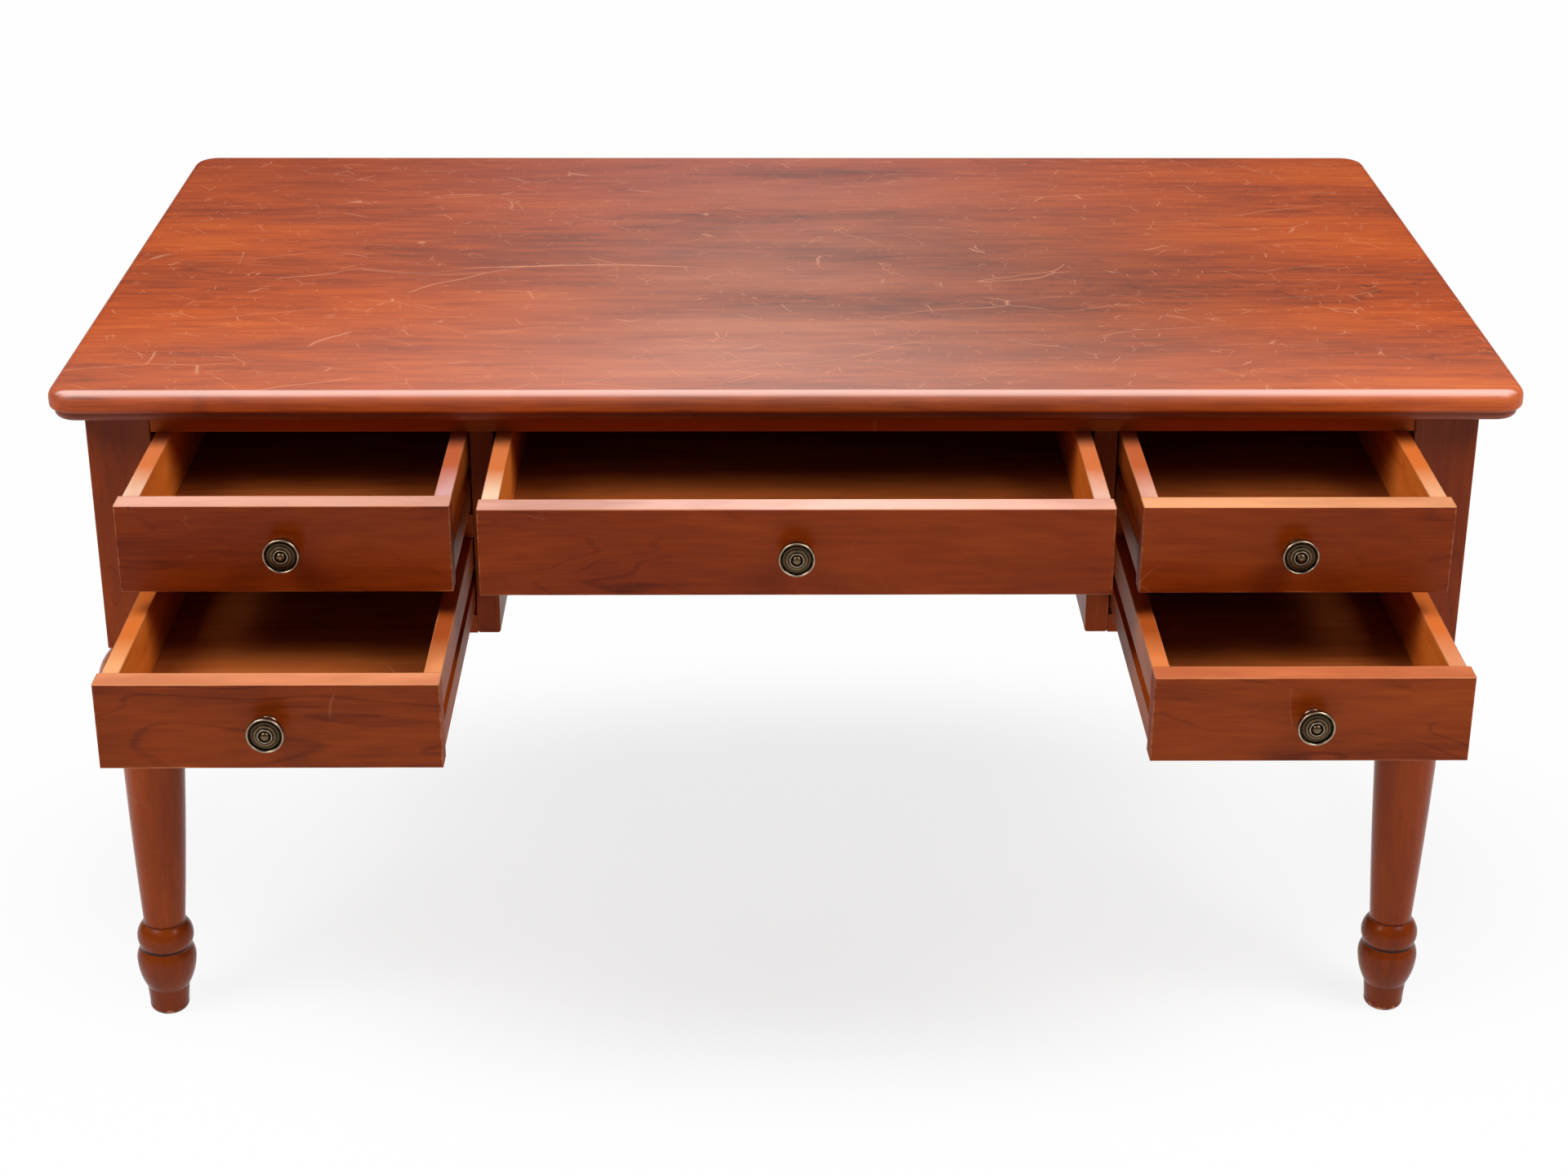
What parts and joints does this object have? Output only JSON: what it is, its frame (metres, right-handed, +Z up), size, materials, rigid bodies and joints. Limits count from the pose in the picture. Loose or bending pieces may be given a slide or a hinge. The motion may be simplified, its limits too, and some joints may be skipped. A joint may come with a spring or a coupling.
{
  "type": "kneehole writing desk",
  "caption": "Kneehole writing desk in stained hardwood on turned legs, with a rounded top and sliding drawers that stand open, each with a ringed brass knob.",
  "frame": {"origin": "on the floor, under the middle of the whole part with its drawers open as in the picture", "axes": "+X to the right along the desk's length, +Y to the back, +Z up"},
  "size_m": [1.485, 1.2032, 0.762],
  "materials": {
    "stained_top_wood": "satin lacquer, worn",
    "stained_case_wood": "satin lacquer over a red-brown stain, worn",
    "drawer_side_wood": "thin stain, worn bright along the edges",
    "drawer_bottom_wood": "thin stain, matt",
    "plain_inner_wood": "bare wood",
    "aged_brass": "dark antique patina, rubbed bright on the rings"
  },
  "bodies": {
    "desk_case": {"centre_back_panel": "stained_case_wood", "centre_left_runner": "plain_inner_wood", "centre_mid_rail": "stained_case_wood", "centre_right_runner": "plain_inner_wood", "desk_top": "stained_top_wood", "front_left_leg": "stained_case_wood", "front_right_leg": "stained_case_wood", "front_top_rail": "stained_case_wood", "glue_blocks": "plain_inner_wood", "left_back_panel": "stained_case_wood", "left_bottom_rail": "stained_case_wood", "left_end_panel": "stained_case_wood", "left_mid_rail": "stained_case_wood", "left_partition": "stained_case_wood", "lower_left_left_runner": "plain_inner_wood", "lower_left_right_runner": "plain_inner_wood", "lower_right_left_runner": "plain_inner_wood", "lower_right_right_runner": "plain_inner_wood", "rear_left_leg": "stained_case_wood", "rear_right_leg": "stained_case_wood", "right_back_panel": "stained_case_wood", "right_bottom_rail": "stained_case_wood", "right_end_panel": "stained_case_wood", "right_mid_rail": "stained_case_wood", "right_partition": "stained_case_wood", "upper_left_left_runner": "plain_inner_wood", "upper_left_right_runner": "plain_inner_wood", "upper_right_left_runner": "plain_inner_wood", "upper_right_right_runner": "plain_inner_wood"},
    "upper_left_drawer": {"upper_left_back": "drawer_side_wood", "upper_left_bottom": "drawer_bottom_wood", "upper_left_front": "stained_case_wood", "upper_left_knob": "aged_brass", "upper_left_left_side": "drawer_side_wood", "upper_left_right_side": "drawer_side_wood"},
    "lower_left_drawer": {"lower_left_back": "drawer_side_wood", "lower_left_bottom": "drawer_bottom_wood", "lower_left_front": "stained_case_wood", "lower_left_knob": "aged_brass", "lower_left_left_side": "drawer_side_wood", "lower_left_right_side": "drawer_side_wood"},
    "centre_drawer": {"centre_back": "drawer_side_wood", "centre_bottom": "drawer_bottom_wood", "centre_front": "stained_case_wood", "centre_knob": "aged_brass", "centre_left_side": "drawer_side_wood", "centre_right_side": "drawer_side_wood"},
    "upper_right_drawer": {"upper_right_back": "drawer_side_wood", "upper_right_bottom": "drawer_bottom_wood", "upper_right_front": "stained_case_wood", "upper_right_knob": "aged_brass", "upper_right_left_side": "drawer_side_wood", "upper_right_right_side": "drawer_side_wood"},
    "lower_right_drawer": {"lower_right_back": "drawer_side_wood", "lower_right_bottom": "drawer_bottom_wood", "lower_right_front": "stained_case_wood", "lower_right_knob": "aged_brass", "lower_right_left_side": "drawer_side_wood", "lower_right_right_side": "drawer_side_wood"}
  },
  "joints": [
    {"name": "upper_left_slide", "type": "slide", "parent": "desk_case", "child": "upper_left_drawer", "axis": [0, -1, 0], "range_m": [-0.196, 0.254]},
    {"name": "lower_left_slide", "type": "slide", "parent": "desk_case", "child": "lower_left_drawer", "axis": [0, -1, 0], "range_m": [-0.3455, 0.1045]},
    {"name": "centre_slide", "type": "slide", "parent": "desk_case", "child": "centre_drawer", "axis": [0, -1, 0], "range_m": [-0.2055, 0.2445]},
    {"name": "upper_right_slide", "type": "slide", "parent": "desk_case", "child": "upper_right_drawer", "axis": [0, -1, 0], "range_m": [-0.2015, 0.2485]},
    {"name": "lower_right_slide", "type": "slide", "parent": "desk_case", "child": "lower_right_drawer", "axis": [0, -1, 0], "range_m": [-0.335, 0.115]}
  ]
}
